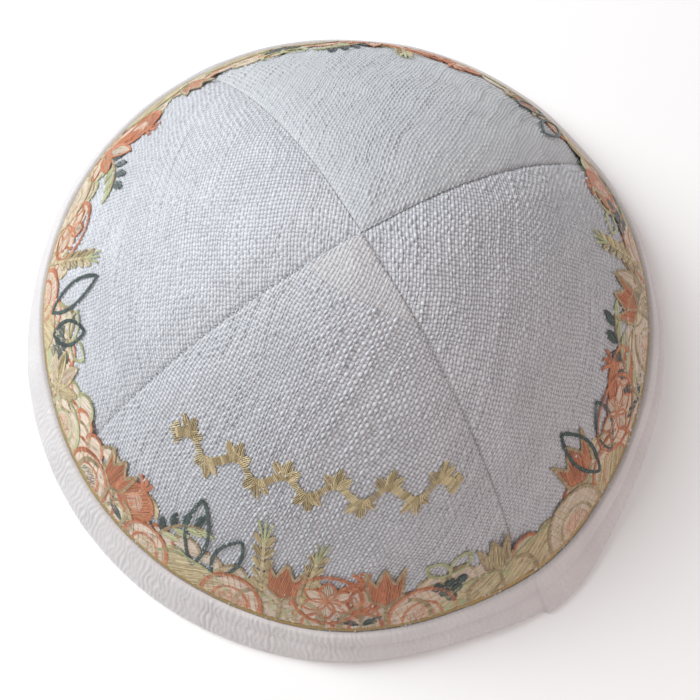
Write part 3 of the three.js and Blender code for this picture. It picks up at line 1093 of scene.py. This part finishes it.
# %% Sew the band
band_foot = line_up + line_width / 2 - 0.1
band_rows = {
    "front": [
        (scallop, 0.05, 0.95, "rust", "green"), (tulip, 0.1, 0.95), (pomegranate, 0.16, 0.95),
        (scallop, 0.225, 0.9, "rust", "gold"), (olive_spray, 0.25, 0.9), (mound, 0.33, 0.95),
        (leaf_pair, 0.345, 1.0), (scallop, 0.42, 1.05, "rust", "rust"), (wheat_ear, 0.48, 1.1, -6),
        (tulip, 0.515, 1.0), (wheat_ear, 0.545, 1.0, 8), (rosette, 0.605, 1.05),
        (pomegranate, 0.67, 0.9), (tulip, 0.72, 1.0), (scallop, 0.79, 1.15, "rust", "rust"),
        (grape, 0.85, 0.9), (mound, 0.9, 0.9), (tulip, 0.955, 0.85, "gold"),
    ],
    "right": [
        (mound, 0.06, 1.15), (scallop, 0.15, 1.25, "khaki", "rust"), (tulip, 0.215, 1.25),
        (leaf_pair, 0.28, 1.05), (scallop, 0.3, 1.2, "rust", "gold"), (rosette, 0.38, 1.2),
        (pomegranate, 0.455, 1.2), (olive_spray, 0.48, 1.1), (scallop, 0.56, 1.25, "gold", "rust"),
        (tulip, 0.63, 1.2), (palmette, 0.69, 1.15, "khaki"), (wheat_ear, 0.74, 1.1, 5),
        (scallop, 0.79, 1.2, "rust", "rust"), (grape, 0.85, 1.0), (pomegranate, 0.92, 1.0),
    ],
    "back": [
        (scallop, 0.06, 1.0, "gold", "rust"), (leaf_pair, 0.14, 0.9), (tulip, 0.2, 0.95),
        (mound, 0.3, 1.0), (pomegranate, 0.385, 0.95), (rosette, 0.47, 1.0),
        (wheat_ear, 0.54, 0.95, -5), (palmette, 0.6, 0.9, "rust"), (olive_spray, 0.64, 0.95),
        (scallop, 0.745, 1.0, "khaki", "green"), (grape, 0.82, 0.95), (mound, 0.915, 0.85),
    ],
    "left": [
        (tulip, 0.05, 0.85), (mound, 0.13, 0.9), (pomegranate, 0.215, 1.0),
        (palmette, 0.29, 1.0, "rust"), (olive_spray, 0.325, 1.0),
        (scallop, 0.425, 1.0, "gold", "khaki"), (rosette, 0.505, 1.0), (wheat_ear, 0.57, 1.0, 6),
        (scallop, 0.64, 0.9, "rust", "rust"), (leaf_pair, 0.71, 1.0), (grape, 0.775, 1.0),
        (palmette, 0.85, 0.85, "gold"), (scallop, 0.93, 0.95, "lime", "rust"),
    ],
}
band_scale = 1.32
ground_rims = ["gold", "khaki", "rust", "gold", "cream", "khaki", "rust", "lime", "gold"]
ground_rows = [
    (12.2, 60, 0.3, -0.14),
    (9.2, 66, 0.65, -0.12),
    (6.2, 72, 0.9, -0.1),
    (3.1, 78, 1.0, -0.07),
    (0.0, 84, 1.0, -0.04),
]


def small_shell(at, foot, size, rim):
    """A low shell; rows of them overlap like scales and close the ground behind the motifs."""
    sew_fill("cream", arc(0, 0.3, 2.9 * size, 0, 180, 1.3), 0.5, at, foot)
    sew_satin(rim, arc(0, 0.3, 3.1 * size, 0, 180, 1.3), 0.9, at, foot)


for ground_up, shell_count, share_kept, ground_lift in ground_rows:
    sewing["lift"] = ground_lift
    for step in range(shell_count):
        if dice.random() < share_kept:
            shell_at = 2 * math.pi * (step + 0.15 * dice.random()) / shell_count
            rim = ground_rims[int(dice.integers(len(ground_rims)))]
            small_shell(shell_at, band_foot + ground_up, dice.uniform(1.0, 1.35), rim)
for side_name, start_degrees, end_degrees, *_ in gore_rows:
    for count, (motif, share, size, *extra) in enumerate(band_rows[side_name]):
        sewing["lift"] = 0.06 + 0.08 * (count % 2)
        place = math.radians(start_degrees + share * (end_degrees - start_degrees))
        motif(place, band_foot, size * band_scale, *extra)
sewing["lift"] = 0.0
print("stitches in the band:", {colour: len(stitches) for colour, stitches in sewn.items()})

# %% [markdown]
# On the front gore a single gold ornament follows an arc of its own: a waving stem with three leaves
# in each bend, and a lozenge at both ends. It is plain ornament, and stays well clear of the border.

# %% Sew the gold vine on the front gore
vine_start, vine_end = math.radians(236.5), math.radians(309)
vine_shares = [0.0, 0.27, 0.53, 0.8, 1.0]
vine_ups = [52.5, 56.3, 57.3, 56.0, 54.0]
vine_waves = 5.5
vine_rise = 2.0
vine_width = 1.7
vine_samples = 240


def gold_vine():
    """A waving stem, three leaves in each bend, and a lozenge at both ends."""
    middle = (vine_start + vine_end) / 2
    share = np.linspace(0, 1, vine_samples)
    up = np.interp(share, vine_shares, vine_ups) + vine_rise * np.sin(2 * math.pi * vine_waves * share)
    x = (share - 0.5) * (vine_end - vine_start) * radius_at(up)
    sew_satin("gold", np.stack([x, up], axis=-1), vine_width, middle, 0)
    bends = int(2 * vine_waves)
    for bend in range(bends):
        spot = int((bend + 0.5) / bends * (vine_samples - 1))
        side = -1 if bend % 2 else 1
        for lean, length in ((-38, 4.8), (8, 5.4), (50, 4.4)):
            turn = lean if side > 0 else 180 - lean
            shape = leaf(x[spot], up[spot] - side * 0.9, length, 2.5, turn)
            sew_fill("gold", shape, math.radians(90 - turn), middle, 0)
    lozenge = np.array([(0, 2.9), (2.3, 0), (0, -2.9), (-2.3, 0)])
    for end in (0, vine_samples - 1):
        sew_fill("gold", lozenge + [x[end], up[end]], 0.8, middle, 0)


gold_vine()
print("stitches in all:", sum(len(stitches) for stitches in sewn.values()))

# %% [markdown]
# Now the threads themselves: every stitch of a colour goes into one curve with a small round bevel,
# which is turned into a mesh. The mesh gets a UV map from its places, in millimetres, so the fibres
# are as fine as on the cloth, and each stitch gets a random shade of its own, partly the thread's
# tone and partly a painted glint.

# %% Turn the stitches into thread
def thread_piece(colour, stitches):
    """All stitches of one colour as one mesh of round threads."""
    curve = bpy.data.curves.new(colour + "_stitches", "CURVE")
    curve.dimensions = "3D"
    curve.bevel_depth = thread_radius * mm
    curve.bevel_resolution = 0
    curve.use_fill_caps = True
    rows = np.concatenate(stitches)
    places = cap_point(rows[:, 0], rows[:, 1], rows[:, 2])
    first = 0
    for stitch in stitches:
        spline = curve.splines.new("POLY")
        spline.points.add(len(stitch) - 1)
        corners = places[first:first + len(stitch)]
        spline.points.foreach_set("co", np.column_stack([corners, np.ones(len(stitch))]).ravel())
        first += len(stitch)
    holder = bpy.data.objects.new("holder", curve)
    bpy.context.scene.collection.objects.link(holder)
    shape = holder.evaluated_get(bpy.context.evaluated_depsgraph_get())
    mesh = bpy.data.meshes.new_from_object(shape)
    bpy.data.objects.remove(holder)
    places = vertex_places(mesh) / mm
    write_uv(mesh, places[:, 0] + places[:, 2], places[:, 1] - places[:, 2])
    # A random shade per stitch: partly the thread's own tone, partly a painted glint.
    each = len(places) // len(stitches)
    shades = np.resize(np.repeat(dice.random(len(stitches)), each), len(places))
    write_painted_shade(mesh, shades)
    mesh.materials.append(threads[colour])
    return finished(mesh, colour + "_embroidery", "embroidery_thread")


for colour_name, colour_stitches in sewn.items():
    thread_piece(colour_name, colour_stitches)

# %% [markdown]
# The room is plain: a pale floor, one large soft light from the upper left, a weaker one from the
# right, and an even sky. The camera stands where the photograph was taken from, about 30 cm away and
# almost overhead. Each lamp has a row: its azimuth and elevation in degrees, its distance and size in
# metres, its power in watts and its colour.

# %% Floor, light and camera
view_azimuth = math.radians(14.14)
view_elevation = math.radians(75.96)
view_distance = 0.300
view_centre = Vector((move_right, move_back, 20)) * mm
view_scale = 3.966
frame_width = 700
centre_pixel = (344.2, 312.0)
lamp_rows = [
    ("key_light", -104, 43, 0.9, 0.5, 8.0, (0.96, 0.98, 1.0)),
    ("fill_light", 66, 34, 1.2, 0.9, 3.8, (1.0, 0.7, 0.62)),
]


def make_floor():
    """A plain pale floor."""
    bm = bmesh.new()
    bmesh.ops.create_grid(bm, x_segments=1, y_segments=1, size=40)
    mesh = bpy.data.meshes.new("floor")
    bm.to_mesh(mesh)
    bm.free()
    floor = bpy.data.objects.new("floor", mesh)
    floor.location.z = -0.0002
    material = bpy.data.materials.new("floor_white")
    material.use_nodes = True
    shader = material.node_tree.nodes["Principled BSDF"]
    shader.inputs["Base Color"].default_value = (0.94, 0.94, 0.94, 1)
    shader.inputs["Roughness"].default_value = 0.9
    mesh.materials.append(material)
    bpy.context.scene.collection.objects.link(floor)


def add_area(name, place, size, power, colour):
    """A square soft light that points at the cap."""
    data = bpy.data.lights.new(name, "AREA")
    data.size = size
    data.energy = power
    data.color = colour
    lamp = bpy.data.objects.new(name, data)
    lamp.location = place
    lamp.rotation_euler = (Vector((0, 0, 0.03)) - Vector(place)).to_track_quat("-Z", "Y").to_euler()
    bpy.context.scene.collection.objects.link(lamp)


def view_direction(azimuth, elevation):
    """The way from the cap to a camera or lamp at that azimuth and elevation."""
    flat = math.cos(elevation)
    return Vector((math.sin(azimuth) * flat, -math.cos(azimuth) * flat, math.sin(elevation)))


make_floor()
for lamp_name, azimuth, elevation, away, lamp_size, power, colour in lamp_rows:
    lamp_way = view_direction(math.radians(azimuth), math.radians(elevation))
    add_area(lamp_name, lamp_way * away, lamp_size, power, colour)
world = bpy.data.worlds.new("studio")
world.use_nodes = True
sky = world.node_tree.nodes["Background"]
sky.inputs["Color"].default_value = (0.965, 0.99, 1, 1)
sky.inputs["Strength"].default_value = 0.41
bpy.context.scene.world = world

camera_data = bpy.data.cameras.new("camera")
camera_data.sensor_width = 36
camera_data.lens = view_scale * view_distance / mm / frame_width * camera_data.sensor_width
camera_data.shift_x = (frame_width / 2 - centre_pixel[0]) / frame_width
camera_data.shift_y = (centre_pixel[1] - frame_width / 2) / frame_width
camera_data.clip_start = 0.01
camera = bpy.data.objects.new("camera", camera_data)
camera.location = view_centre + view_direction(view_azimuth, view_elevation) * view_distance
camera.rotation_euler = (view_centre - camera.location).to_track_quat("-Z", "Y").to_euler()
bpy.context.scene.collection.objects.link(camera)
bpy.context.scene.camera = camera
bpy.context.scene.view_settings.view_transform = "Standard"
print(f"camera: {camera_data.lens:.1f} mm lens, {view_distance} m away")
